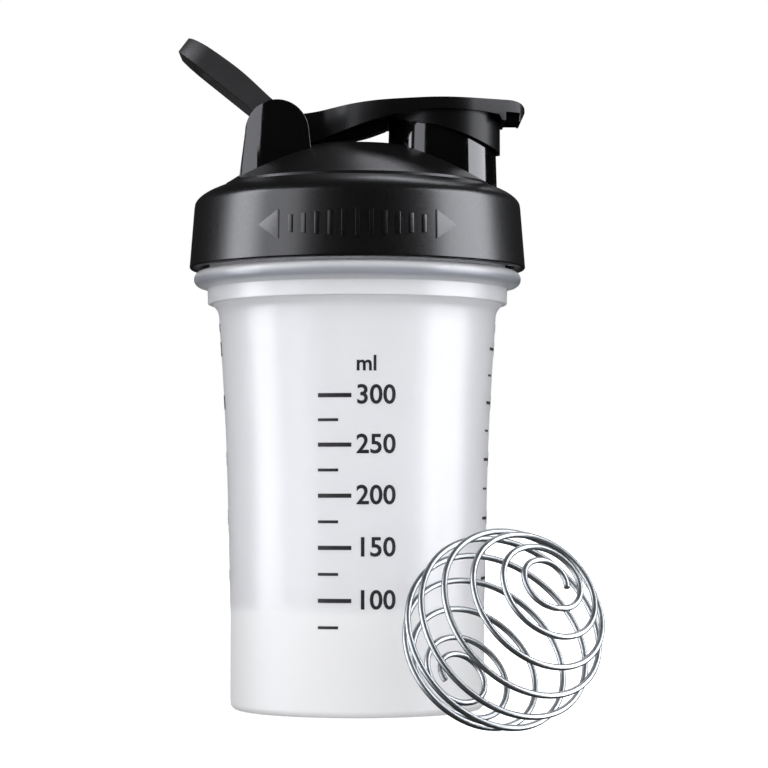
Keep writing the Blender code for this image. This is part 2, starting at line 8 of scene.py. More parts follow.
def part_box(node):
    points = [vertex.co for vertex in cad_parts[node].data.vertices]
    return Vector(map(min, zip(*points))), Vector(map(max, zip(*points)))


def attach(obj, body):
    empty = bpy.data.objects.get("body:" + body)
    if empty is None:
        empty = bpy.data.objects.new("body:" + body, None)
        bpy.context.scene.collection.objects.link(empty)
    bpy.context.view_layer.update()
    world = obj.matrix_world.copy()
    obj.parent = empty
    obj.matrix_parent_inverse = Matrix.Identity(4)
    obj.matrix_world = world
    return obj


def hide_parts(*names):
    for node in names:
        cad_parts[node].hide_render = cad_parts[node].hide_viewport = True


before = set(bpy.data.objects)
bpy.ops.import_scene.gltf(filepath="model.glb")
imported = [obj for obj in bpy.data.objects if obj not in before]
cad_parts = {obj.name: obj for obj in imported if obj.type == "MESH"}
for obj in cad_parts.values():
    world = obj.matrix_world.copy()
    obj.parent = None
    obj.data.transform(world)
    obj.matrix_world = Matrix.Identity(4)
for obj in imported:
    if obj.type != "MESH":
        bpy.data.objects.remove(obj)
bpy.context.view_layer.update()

MM = 0.001

# Places taken from the CAD nodes, in millimetres
jar_low, jar_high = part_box("jar")
lid_low, lid_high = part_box("screw_lid")
cap_low, cap_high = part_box("flip_cap")
plug_low, plug_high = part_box("spout_stopper")
seal_low, seal_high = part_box("lid_gasket")
ball_low, ball_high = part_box("whisk_ball")

RIM_Z = jar_high[2] / MM
LID_FOOT = lid_low[2] / MM
SPOUT_Z = 162.8
HINGE_X = -22.0
HINGE_Z = 159.2
SPOUT_X = 23.6
FINE = 144


# ------------------------------------------------------------------ workbench

def put_down():
    if bpy.context.mode != "OBJECT":
        bpy.ops.object.mode_set(mode="OBJECT")
    bpy.ops.object.select_all(action="DESELECT")


def take(obj):
    put_down()
    obj.select_set(True)
    bpy.context.view_layer.objects.active = obj


def edit(obj):
    take(obj)
    bpy.ops.object.mode_set(mode="EDIT")
    bpy.ops.mesh.select_all(action="SELECT")


def draw_line(name, points, closed=False):
    """Extrude one vertex along the points, given in millimetres; a closed line is filled."""
    put_down()
    bpy.ops.mesh.primitive_plane_add(size=0.001, location=(0, 0, 0))
    obj = bpy.context.object
    obj.name = obj.data.name = name
    bpy.ops.object.mode_set(mode="EDIT")
    bpy.ops.mesh.select_all(action="SELECT")
    bpy.ops.mesh.merge(type="CENTER")
    here = Vector(points[0]) * MM
    bpy.ops.transform.translate(value=here)
    for point in points[1:]:
        there = Vector(point) * MM
        bpy.ops.mesh.extrude_region_move(TRANSFORM_OT_translate={"value": there - here})
        here = there
    bpy.ops.mesh.select_all(action="SELECT")
    if closed:
        bpy.ops.mesh.edge_face_add()
    return obj


def tidy_shell(merge=0.000002):
    bpy.ops.mesh.select_all(action="SELECT")
    bpy.ops.mesh.remove_doubles(threshold=merge)
    bpy.ops.mesh.normals_make_consistent(inside=False)


def turn_body(name, profile, x=0.0, steps=FINE):
    """A body turned about an upright axis from (radius, height) points in millimetres."""
    points = [(x + p[0], 0.0, p[1]) for p in profile]
    obj = draw_line(name, points)
    bpy.ops.mesh.spin(
        steps=steps, angle=2 * math.pi, center=(x * MM, 0, 0), axis=(0, 0, 1), use_auto_merge=True
    )
    tidy_shell()
    bpy.ops.object.mode_set(mode="OBJECT")
    return obj


def slab(name, outline, low, high, upright=True):
    """A filled outline pulled from low to high: (x, z) along Y if upright, else (x, y) along Z."""
    if upright:
        points = [(a, low, b) for a, b in outline]
        pull = Vector((0, high - low, 0)) * MM
    else:
        points = [(a, b, low) for a, b in outline]
        pull = Vector((0, 0, high - low)) * MM
    obj = draw_line(name, points, closed=True)
    bpy.ops.mesh.extrude_region_move(TRANSFORM_OT_translate={"value": pull})
    tidy_shell()
    bpy.ops.object.mode_set(mode="OBJECT")
    return obj


def rod(name, radius, low, high, x, z, sides=48):
    """A round rod along Y."""
    put_down()
    bpy.ops.mesh.primitive_cylinder_add(
        vertices=sides,
        radius=radius * MM,
        depth=(high - low) * MM,
        location=(x * MM, (low + high) / 2 * MM, z * MM),
        rotation=(math.pi / 2, 0, 0),
    )
    obj = bpy.context.object
    obj.name = obj.data.name = name
    bpy.ops.object.transform_apply(location=True, rotation=True, scale=True)
    return obj


def shape(obj, tool, how):
    """Join, cut or keep with another body, then put the tool away."""
    mod = obj.modifiers.new("shape", "BOOLEAN")
    mod.operation = {"join": "UNION", "cut": "DIFFERENCE", "keep": "INTERSECT"}[how]
    mod.solver = "EXACT"
    mod.material_mode = "TRANSFER"
    mod.object = tool
    take(obj)
    bpy.ops.object.modifier_apply(modifier=mod.name)
    bpy.data.objects.remove(tool, do_unlink=True)


def soften_edges(obj, width, segments=3, angle=35.0):
    """Round the sharp edges by width millimetres."""
    edit(obj)
    bpy.ops.mesh.remove_doubles(threshold=0.000004)
    bpy.ops.mesh.dissolve_limited(angle_limit=math.radians(0.6))
    bpy.ops.object.mode_set(mode="OBJECT")
    mod = obj.modifiers.new("soften", "BEVEL")
    mod.width = width * MM
    mod.segments = segments
    mod.limit_method = "ANGLE"
    mod.angle_limit = math.radians(angle)
    mod.use_clamp_overlap = True
    take(obj)
    bpy.ops.object.modifier_apply(modifier=mod.name)


def shade(obj, angle=32.0):
    take(obj)
    bpy.ops.object.shade_smooth_by_angle(angle=math.radians(angle))


def finish_piece(obj, material, body, *nodes, slot=None, angle=32.0):
    if material is not None:
        obj.data.materials.clear()
        obj.data.materials.append(material)
    shade(obj, angle)
    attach(obj, body)
    if nodes:
        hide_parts(*nodes)
    return obj


def round_corners(corners, per=14.0):
    """Fillet a line of (a, b) or (a, b, radius) corners."""
    made = []
    last = len(corners) - 1
    for i, corner in enumerate(corners):
        here = Vector(corner[:2])
        radius = corner[2] if len(corner) > 2 else 0.0
        if radius <= 0 or i in (0, last):
            made.append(here)
            continue
        back = Vector(corners[i - 1][:2]) - here
        on = Vector(corners[i + 1][:2]) - here
        wide = back.angle(on)
        cut = min(radius / math.tan(wide / 2), 0.49 * back.length, 0.49 * on.length)
        radius = cut * math.tan(wide / 2)
        centre = here + (back.normalized() + on.normalized()).normalized() * (radius / math.sin(wide / 2))
        first = here + back.normalized() * cut - centre
        second = here + on.normalized() * cut - centre
        start = math.atan2(first.y, first.x)
        sweep = (math.atan2(second.y, second.x) - start + math.pi) % (2 * math.pi) - math.pi
        count = max(2, math.ceil(abs(math.degrees(sweep)) / per))
        for k in range(count + 1):
            a = start + sweep * k / count
            made.append(centre + Vector((math.cos(a), math.sin(a))) * radius)
    return [tuple(p) for p in made]


def flowing(points, per_span=6):
    """A smooth line through the points."""
    made = []
    for i in range(len(points) - 1):
        p1, p2 = Vector(points[i]), Vector(points[i + 1])
        p0 = Vector(points[i - 1]) if i else 2 * p1 - p2
        p3 = Vector(points[i + 2]) if i + 2 < len(points) else 2 * p2 - p1
        for k in range(per_span):
            t = k / per_span
            a = 2 * p1 + (p2 - p0) * t
            b = (2 * p0 - 5 * p1 + 4 * p2 - p3) * t * t
            c = (3 * p1 - p0 - 3 * p2 + p3) * t * t * t
            made.append(tuple((a + b + c) / 2))
    made.append(tuple(points[-1]))
    return made


def bow(cx, cy, radius, start, end, count):
    made = []
    for i in range(count + 1):
        a = math.radians(start + (end - start) * i / count)
        made.append((cx + radius * math.cos(a), cy + radius * math.sin(a)))
    return made


def wire_through(name, points, radius, swell=None, rounds=4):
    """A round wire through points in millimetres, made a mesh with closed ends."""
    data = bpy.data.curves.new(name, "CURVE")
    data.dimensions = "3D"
    data.bevel_depth = radius * MM
    data.bevel_resolution = rounds
    data.use_fill_caps = True
    spline = data.splines.new("POLY")
    spline.points.add(len(points) - 1)
    for i, (knot, p) in enumerate(zip(spline.points, points)):
        knot.co = (p[0] * MM, p[1] * MM, p[2] * MM, 1.0)
        knot.radius = 1.0 if swell is None else swell[i]
    obj = bpy.data.objects.new(name, data)
    bpy.context.scene.collection.objects.link(obj)
    take(obj)
    bpy.ops.object.convert(target="MESH")
    obj = bpy.context.object
    obj.name = obj.data.name = name
    edit(obj)
    tidy_shell(0.000005)
    bpy.ops.object.mode_set(mode="OBJECT")
    return obj


# ------------------------------------------------------------------ finishes

def new_finish(name):
    mat = bpy.data.materials.new(name)
    mat.use_nodes = True
    tree = mat.node_tree
    shader = tree.nodes["Principled BSDF"]
    return mat, tree, shader


def node(tree, kind, **settings):
    made = tree.nodes.new(kind)
    for key, value in settings.items():
        if hasattr(made, key):
            setattr(made, key, value)
        else:
            made.inputs[key.replace("_", " ")].default_value = value
    return made


def place(tree, scale=(1, 1, 1)):
    coords = node(tree, "ShaderNodeTexCoord")
    mapping = node(tree, "ShaderNodeMapping")
    mapping.inputs["Scale"].default_value = scale
    tree.links.new(coords.outputs["Object"], mapping.inputs["Vector"])
    return mapping.outputs["Vector"]


def speckle(tree, where, scale, detail=3.0, roughness=0.6):
    noise = node(tree, "ShaderNodeTexNoise")
    noise.inputs["Scale"].default_value = scale
    noise.inputs["Detail"].default_value = detail
    noise.inputs["Roughness"].default_value = roughness
    tree.links.new(where, noise.inputs["Vector"])
    return noise.outputs["Fac"]


def spread(tree, value, low, high, start=0.3, end=0.7):
    """Stretch a 0 to 1 value between two numbers."""
    made = node(tree, "ShaderNodeMapRange")
    for key, number in (("From Min", start), ("From Max", end), ("To Min", low), ("To Max", high)):
        made.inputs[key].default_value = number
    tree.links.new(value, made.inputs["Value"])
    return made.outputs["Result"]


def tint(tree, value, dark, light):
    ramp = node(tree, "ShaderNodeValToRGB")
    ramp.color_ramp.elements[0].position = 0.3
    ramp.color_ramp.elements[0].color = (*dark, 1)
    ramp.color_ramp.elements[1].position = 0.7
    ramp.color_ramp.elements[1].color = (*light, 1)
    tree.links.new(value, ramp.inputs["Fac"])
    return ramp.outputs["Color"]


def relief(tree, height, distance, strength, shader):
    bump = node(tree, "ShaderNodeBump")
    bump.inputs["Distance"].default_value = distance * MM
    bump.inputs["Strength"].default_value = strength
    tree.links.new(height, bump.inputs["Height"])
    tree.links.new(bump.outputs["Normal"], shader.inputs["Normal"])


def spark_grained_black(name, dark, light, rough_low, rough_high, depth, sheen=0.5):
    """Moulded black plastic with the fine grain of a spark-eroded mould."""
    mat, tree, shader = new_finish(name)
    where = place(tree)
    grain = speckle(tree, where, 1500.0, 9.0, 0.75)
    cloud = speckle(tree, where, 90.0, 3.0, 0.5)
    tree.links.new(tint(tree, cloud, dark, light), shader.inputs["Base Color"])
    tree.links.new(spread(tree, grain, rough_low, rough_high), shader.inputs["Roughness"])
    relief(tree, grain, depth, 0.6, shader)
    shader.inputs["IOR"].default_value = 1.49
    shader.inputs["Specular IOR Level"].default_value = sheen
    return mat


def polished_black():
    """The smooth polished faces of the same black moulding."""
    mat, tree, shader = new_finish("polished_black_moulding")
    where = place(tree)
    cloud = speckle(tree, where, 60.0, 2.0, 0.5)
    tree.links.new(tint(tree, cloud, (0.0016, 0.0016, 0.0019), (0.0028, 0.0028, 0.0032)), shader.inputs["Base Color"])
    tree.links.new(spread(tree, speckle(tree, where, 500.0), 0.05, 0.10), shader.inputs["Roughness"])
    relief(tree, cloud, 0.02, 0.25, shader)
    shader.inputs["IOR"].default_value = 1.49
    return mat


def height_band(tree, where, low, high, edge):
    """1 between two heights in millimetres, fading to 0 over an edge at each side."""
    parts = node(tree, "ShaderNodeSeparateXYZ")
    tree.links.new(where, parts.inputs["Vector"])
    rise = spread(tree, parts.outputs["Z"], 0.0, 1.0, (low - edge) * MM, low * MM)
    fall = spread(tree, parts.outputs["Z"], 1.0, 0.0, high * MM, (high + edge) * MM)
    both = node(tree, "ShaderNodeMath", operation="MULTIPLY")
    tree.links.new(rise, both.inputs[0])
    tree.links.new(fall, both.inputs[1])
    return both.outputs["Value"]


def milky_plastic():
    """Translucent polypropylene with painted shade in a dark grey band round the neck bead, and frosted at the foot.
    """
    mat, tree, shader = new_finish("milky_translucent_plastic")
    where = place(tree)
    cloud = speckle(tree, where, 45.0, 3.0, 0.55)
    clear = tint(tree, cloud, (0.905, 0.91, 0.94), (0.93, 0.935, 0.958))
    # Painted shade: the dark grey band at the neck bead stands in for the dark refraction seen there; it is not a
    # colour of the plastic.
    bead_painted_shade = node(tree, "ShaderNodeMix", data_type="RGBA")
    tree.links.new(height_band(tree, where, 117.2, 118.4, 1.6), bead_painted_shade.inputs["Factor"])
    tree.links.new(clear, bead_painted_shade.inputs[6])
    bead_painted_shade.inputs[7].default_value = (0.42, 0.44, 0.49, 1)
    foot = node(tree, "ShaderNodeMix", data_type="RGBA")
    frost = height_band(tree, where, -1.0, 27.0, 3.0)
    tree.links.new(frost, foot.inputs["Factor"])
    tree.links.new(bead_painted_shade.outputs[2], foot.inputs[6])
    foot.inputs[7].default_value = (0.865, 0.868, 0.885, 1)
    tree.links.new(foot.outputs[2], shader.inputs["Base Color"])
    grain = speckle(tree, where, 600.0, 2.0, 0.5)
    rough = node(tree, "ShaderNodeMath", operation="ADD")
    tree.links.new(spread(tree, grain, 0.28, 0.38), rough.inputs[0])
    tree.links.new(spread(tree, frost, 0.0, 0.18, 0.0, 1.0), rough.inputs[1])
    tree.links.new(rough.outputs["Value"], shader.inputs["Roughness"])
    tree.links.new(spread(tree, frost, 0.35, 0.12, 0.0, 1.0), shader.inputs["Transmission Weight"])
    relief(tree, grain, 0.006, 0.15, shader)
    shader.inputs["IOR"].default_value = 1.49
    return mat


def printed_ink():
    mat, tree, shader = new_finish("black_screen_print")
    where = place(tree)
    cloud = speckle(tree, where, 900.0, 3.0, 0.6)
    tree.links.new(tint(tree, cloud, (0.010, 0.010, 0.011), (0.020, 0.020, 0.022)), shader.inputs["Base Color"])
    tree.links.new(spread(tree, cloud, 0.40, 0.55), shader.inputs["Roughness"])
    relief(tree, cloud, 0.006, 0.3, shader)
    return mat


def drawn_steel():
    """Bright stainless wire with faint drawing marks."""
    mat, tree, shader = new_finish("bright_stainless_wire")
    where = place(tree)
    marks = speckle(tree, where, 1800.0, 2.0, 0.5)
    cloud = speckle(tree, where, 120.0, 2.0, 0.5)
    tree.links.new(tint(tree, cloud, (0.27, 0.285, 0.29), (0.36, 0.375, 0.38)), shader.inputs["Base Color"])
    tree.links.new(spread(tree, marks, 0.32, 0.42), shader.inputs["Roughness"])
    relief(tree, marks, 0.004, 0.3, shader)
    shader.inputs["Metallic"].default_value = 0.94
    return mat


def soft_silicone(name, dark, light):
    mat, tree, shader = new_finish(name)
    where = place(tree)
    cloud = speckle(tree, where, 400.0, 3.0, 0.6)
    tree.links.new(tint(tree, cloud, dark, light), shader.inputs["Base Color"])
    tree.links.new(spread(tree, cloud, 0.50, 0.65), shader.inputs["Roughness"])
    relief(tree, cloud, 0.02, 0.3, shader)
    return mat


SATIN = spark_grained_black("grained_black_lid", (0.0014, 0.0014, 0.0017), (0.0026, 0.0026, 0.0030), 0.25, 0.37, 0.012)
CAP_SATIN = spark_grained_black("grained_black_cap", (0.0016, 0.0016, 0.0020), (0.0028, 0.0028, 0.0033), 0.29, 0.40, 0.010, 0.17)
GLOSS = polished_black()
MILKY = milky_plastic()
INK = printed_ink()
STEEL = drawn_steel()
SEAL = soft_silicone("grey_silicone", (0.17, 0.18, 0.19), (0.23, 0.24, 0.26))
LOOP_SATIN = spark_grained_black("grained_black_loop", (0.0110, 0.0110, 0.0122), (0.0165, 0.0165, 0.0180), 0.46, 0.60, 0.012)
PLUG = soft_silicone("black_silicone", (0.020, 0.020, 0.022), (0.032, 0.032, 0.035))


# ------------------------------------------------------------------ jar

BODY_LINE = flowing([(35.2, 26.0), (36.4, 73.0), (38.5, 108.7)], 10)


def body_radius(z):
    """Outer radius of the jar's body at a height, in millimetres."""
    if z <= BODY_LINE[0][1]:
        return BODY_LINE[0][0]
    for (r0, z0), (r1, z1) in zip(BODY_LINE, BODY_LINE[1:]):
        if z <= z1:
            return r0 + (r1 - r0) * (z - z0) / (z1 - z0)
    return BODY_LINE[-1][0]


def thread_ridge(name, radius, start_z):
    turns, pitch, wire = 1.5, 6.0, 1.25
    count = int(turns * 72)
    points, swell = [], []
    for i in range(count + 1):
        a = 2 * math.pi * turns * i / count
        points.append((radius * math.cos(a), radius * math.sin(a), start_z + pitch * turns * i / count))
        swell.append(min(1.0, 0.3 + 0.7 * min(i, count - i) / 9))
    return wire_through(name, points, wire, swell, rounds=3)


def make_jar():
    wall = 1.8
    inner = [(r - wall, z) for r, z in BODY_LINE]
    line = [(0.0, 2.4), (33.4, 2.4, 2.6)] + inner
    line += [(39.1, 115.8, 3.0), (39.1, RIM_Z, 0.6), (41.2, RIM_Z, 0.6), (41.2, 121.3, 0.3), (42.2, 120.9, 0.3)]
    line += bow(43.3, 118.7, 2.2, 90, -80, 14)
    line += [(42.9, 116.3), (41.7, 116.0, 0.3), (41.6, 111.8, 0.35), (40.3, 111.7, 0.5), (38.9, 110.0, 2.0)]
    line += list(reversed(BODY_LINE))
    line += [(35.2, 0.0, 1.9), (0.0, 0.0)]
    jar = turn_body("jar_shell", round_corners(line), steps=160)
    shape(jar, thread_ridge("neck_thread", 41.45, 125.5), "join")
    finish_piece(jar, MILKY, "jar", "jar", slot="jar_plastic")
    return jar


def wrap_round(obj, facing, radius_at, lift=0.03, film=0.05):
    """Bend a flat mark drawn in XZ round a turned body, facing a bearing in degrees from -Y."""
    edit(obj)
    reach = max(abs(v.co.x) for v in obj.data.vertices) / MM
    x = -math.floor(reach)
    while x < reach:
        bpy.ops.mesh.select_all(action="SELECT")
        bpy.ops.mesh.bisect(plane_co=(x * MM, 0, 0), plane_no=(1, 0, 0))
        x += 1.0
    bpy.ops.object.mode_set(mode="OBJECT")
    turn = math.radians(facing)
    for v in obj.data.vertices:
        r = radius_at(v.co.z / MM) * MM + lift * MM
        a = turn + v.co.x / r
        v.co = (r * math.sin(a), -r * math.cos(a), v.co.z)
    mod = obj.modifiers.new("film", "SOLIDIFY")
    mod.thickness = film * MM
    mod.offset = 1.0
    take(obj)
    bpy.ops.object.modifier_apply(modifier=mod.name)


def dash(name, x, z, length, thick):
    """A printed tick with its left end at x."""
    put_down()
    bpy.ops.mesh.primitive_plane_add(
        size=1.0, location=((x + length / 2) * MM, 0, z * MM), rotation=(math.pi / 2, 0, 0)
    )
    obj = bpy.context.object
    obj.name = name
    obj.scale = (length * MM, thick * MM, 1)
    bpy.ops.object.transform_apply(location=True, rotation=True, scale=True)
    return obj


def numeral(name, text, x, z, height):
    """A printed number, centred on its height, starting at x."""
    put_down()
    bpy.ops.object.text_add(location=(x * MM, 0, z * MM), rotation=(math.pi / 2, 0, 0))
    obj = bpy.context.object
    obj.name = name
    obj.data.body = text
    obj.data.size = height * 1.38 * MM
    obj.data.offset = 0.00012
    obj.data.align_y = "CENTER"
    obj.data.resolution_u = 4
    take(obj)
    bpy.ops.object.convert(target="MESH")
    obj = bpy.context.object
    bpy.ops.object.transform_apply(location=True, rotation=True, scale=True)
    return obj


def join_all(name, parts):
    take(parts[0])
    for part in parts[1:]:
        part.select_set(True)
    bpy.ops.object.join()
    obj = bpy.context.object
    obj.name = obj.data.name = name
    return obj


def fill_height(volume):
    """Height in millimetres that a volume in millilitres fills the jar to."""
    z, held = 2.4, 0.0
    while held < volume:
        held += math.pi * ((body_radius(z) - 1.8) / 10) ** 2 * 0.01
        z += 0.1
    return z


def make_scale(name, facing, marks, numbers, unit, size, long, short, thick):
    parts = []
    for volume in marks:
        z = fill_height(volume)
        major = volume in numbers
        length = long if major else short
        parts.append(dash(name + "_tick", -long - 1.6, z, length, thick if major else thick * 0.7))
        if major:
            parts.append(numeral(name + "_number", numbers[volume], -0.4, z, size))
    top = max(fill_height(v) for v in numbers)
    parts.append(numeral(name + "_unit", unit, -0.4, top + size * 1.6, size * 0.8))
    print_ = join_all(name, parts)
    wrap_round(print_, facing, body_radius)
    edit(print_)
    bpy.ops.mesh.normals_make_consistent(inside=False)
    bpy.ops.object.mode_set(mode="OBJECT")
    finish_piece(print_, INK, "jar", angle=60)
    return print_


def make_prints():
    millilitres = {100: "100", 150: "150", 200: "200", 250: "250", 300: "300"}
    make_scale("front_scale", 0, range(75, 301, 25), millilitres, "ml", 5.2, 9.0, 5.5, 1.1)
    ounce = 29.57
    ounces = {n * ounce: str(n) for n in (4, 6, 8, 10, 12)}
    marks = [n * ounce for n in range(3, 13)]
    make_scale("left_scale", -88, marks, ounces, "oz", 4.0, 8.0, 4.5, 0.8)
    make_scale("right_scale", 88, marks, ounces, "oz", 4.0, 8.0, 4.5, 0.8)


# ------------------------------------------------------------------ lid

def dome_line(start):
    """The bulging slope of the dome, as (radius, height), from a radius outwards."""
    made = []
    for i in range(9):
        r = start + (36.0 - start) * i / 8
        t = max(0.0, (r - 15.0) / 22.0)
        made.append((r, 155.6 - 10.6 * t + 1.2 * math.sin(math.pi * t)))
    return made


def make_lid():
    outer = [(0.0, 156.0)] + flowing([(6.0, 155.95), (11.0, 155.8)] + dome_line(15.0), 4)
    outer += [(36.9, 145.1, 0.2), (37.3, 144.1, 0.3), (38.3, 144.2, 0.5)]
    outer += flowing([(39.4, 143.8), (42.0, 142.6), (44.0, 141.2), (45.1, 139.8), (45.4, 138.4)], 5)
    outer += [(46.7, 122.0, 0.3), (46.4, LID_FOOT, 0.2), (0.0, LID_FOOT)]
    lid = turn_body("lid_moulding", round_corners(outer, 8.0), steps=180)
    lid.data.materials.append(SATIN)

    for name, side in (("near_tower", -1), ("far_tower", 1)):
        shape(lid, make_tower(name, side), "join")

    tube = [(0.0, 141.2), (15.4, 141.2), (14.8, SPOUT_Z, 0.9), (0.0, SPOUT_Z)]
    spout = turn_body("spout_tube", round_corners(tube), x=SPOUT_X, steps=120)
    spout.data.materials.append(GLOSS)
    shape(lid, spout, "join")

    cavity = [(0.0, 153.0)] + [(r, z - 2.6) for r, z in dome_line(13.0)]
    cavity += [(36.7, 142.5, 1.0), (36.7, 134.2), (37.9, 134.2), (37.9, 140.0)]
    cavity += [(43.6, 140.0, 0.6), (43.6, 122.6), (44.2, 121.0), (0.0, 121.0)]
    hollow = turn_body("lid_hollow", round_corners(cavity), steps=180)
    hollow.data.materials.append(SATIN)
    shape(lid, hollow, "cut")

    line = [(0.0, 138.0), (12.4, 138.0), (12.4, 161.9), (13.3, 163.2), (13.3, 165.0), (0.0, 165.0)]
    bore = turn_body("spout_bore", round_corners(line), x=SPOUT_X, steps=120)
    bore.data.materials.append(GLOSS)
    shape(lid, bore, "cut")

    socket = rod("hinge_socket", 2.7, -16.1, 16.1, HINGE_X, HINGE_Z)
    socket.data.materials.append(SATIN)
    shape(lid, socket, "cut")
    ridge = thread_ridge("lid_thread", 43.35, 122.5)
    ridge.data.materials.append(SATIN)
    shape(lid, ridge, "join")
    finish_piece(lid, None, "lid", "screw_lid", slot="lid_plastic", angle=30)
    return lid


def make_tower(name, side):
    """A hinge tower: an arch-topped plate whose outer face bows outwards."""
    r = 8.8
    outline = [(HINGE_X - r - 2.0, 143.0), (HINGE_X + r + 1.7, 143.0)]
    outline += bow(HINGE_X, HINGE_Z - 1.1, r, 1, 179, 44)
    tower = slab(name, outline, side * 12.9, side * 17.6)
    edit(tower)
    for i in range(1, 16):
        x = HINGE_X - r - 2.0 + (2 * r + 3.7) * i / 16
        bpy.ops.mesh.select_all(action="SELECT")
        bpy.ops.mesh.bisect(plane_co=(x * MM, 0, 0), plane_no=(1, 0, 0))
    bpy.ops.object.mode_set(mode="OBJECT")
    for v in tower.data.vertices:
        if abs(v.co.y) > 15 * MM:
            off = v.co.x / MM - (HINGE_X + 1.5)
            v.co.y -= side * off * off / 44.0 * MM
    edit(tower)
    tidy_shell()
    bpy.ops.object.mode_set(mode="OBJECT")
    mod = tower.modifiers.new("edge", "BEVEL")
    mod.width = 0.5 * MM
    mod.segments = 3
    mod.angle_limit = math.radians(50)
    take(tower)
    bpy.ops.object.modifier_apply(modifier=mod.name)
    tower.data.materials.append(GLOSS)
    return tower


def skirt_radius(z):
    return 46.7 - (z - 122.0) * 0.0793


def arrow(name, x, z, reach, height):
    """A flat arrowhead in XZ, pointing along +X or, with a negative reach, along -X."""
    put_down()
    bpy.ops.mesh.primitive_circle_add(vertices=3, radius=1.0, fill_type="NGON", rotation=(math.pi / 2, 0, 0))
    obj = bpy.context.object
    obj.name = name
    bpy.ops.object.transform_apply(location=True, rotation=True, scale=True)
    corners = [(x + reach, z), (x, z + height / 2), (x, z - height / 2)]
    if reach < 0:
        corners = [corners[0], corners[2], corners[1]]
    for v, (cx, cz) in zip(obj.data.vertices, corners):
        v.co = (cx * MM, 0, cz * MM)
    return obj


def make_turn_marks():
    """Raised marks on the skirt for the turning direction: a row of bars between two arrowheads."""
    parts = [arrow("turn_mark_arrow", -21.4, 130.4, -6.4, 8.0), arrow("turn_mark_arrow", 21.4, 130.4, 6.4, 8.0)]
    for i in range(11):
        x = -18.0 + 3.6 * i
        tall = 7.5 - 0.55 * abs(i - 5)
        parts.append(dash("turn_mark_bar", x - 0.6, 130.4, 1.2, tall))
    marks = join_all("turn_marks", parts)
    wrap_round(marks, 0, skirt_radius, -0.10, 0.34)
    edit(marks)
    bpy.ops.mesh.normals_make_consistent(inside=False)
    bpy.ops.object.mode_set(mode="OBJECT")
    mod = marks.modifiers.new("edge", "BEVEL")
    mod.width = 0.10 * MM
    mod.segments = 2
    mod.angle_limit = math.radians(50)
    take(marks)
    bpy.ops.object.modifier_apply(modifier=mod.name)
    finish_piece(marks, SATIN, "lid", "screw_lid", angle=40)


def make_gasket():
    line = [(38.5, 137.9), (42.6, 137.9), (42.6, 139.7), (38.5, 139.7), (38.5, 137.9)]
    low, high = seal_low[2] / MM, seal_high[2] / MM
    line = [(38.5, high - 0.2), (38.7, high), (42.4, high), (42.6, high - 0.2), (42.6, low + 0.2), (42.4, low)]
    line += [(38.7, low), (38.5, low + 0.2), (38.5, high - 0.2)]
    ring = turn_body("lid_seal_ring", line)
    finish_piece(ring, SEAL, "lid_seal", "lid_gasket", slot="gasket_silicone")


# ------------------------------------------------------------------ flip cap

def cap_side_line():
    """Over the top from the hinge to the tab, then back along the underside."""
    top = cap_high[2] / MM
    crest = flowing(
        [
            (-22.0, 164.4), (-17.0, 164.1), (-12.7, 164.5), (-7.0, 165.6), (-1.0, 166.4), (5.0, 167.0),
            (11.7, 167.4), (21.0, top - 0.2), (30.0, top - 0.2), (39.0, top), (43.0, top),
            (45.3, top - 0.6), (46.4, top - 1.5),
        ],
        5,
    )
    tab = [(46.7, 165.5), (45.3, 162.3), (39.9, 162.3), (39.1, 163.8), (34.8, 164.3)]
    belly = flowing(
        [
            (23.6, 164.6), (17.6, 164.2), (11.7, 163.2), (7.8, 162.5), (2.6, 161.1), (-2.6, 159.5),
            (-8.2, 157.8), (-10.0, 156.9), (-12.5, 156.3),
        ],
        4,
    )
    return crest + tab + belly + [(-20.0, 154.6), (-22.0, 155.2)]


def cap_plan_line():
    half = [(-22.0, 8.7)]
    half += flowing([(-12.0, 8.7), (-9.2, 8.8), (-6.0, 10.4), (-2.6, 12.9), (1.5, 14.8), (8.0, 16.3), (20.0, 17.2)], 6)
    half += bow(SPOUT_X, 0.0, 17.2, 88, 60, 22)
    half += flowing([(38.0, 11.5), (43.0, 8.5), (45.3, 6.6), (46.4, 4.0), (46.7, 0.0)], 6)
    mirrored = [(x, -y) for x, y in reversed(half[:-1])]
    return half + mirrored


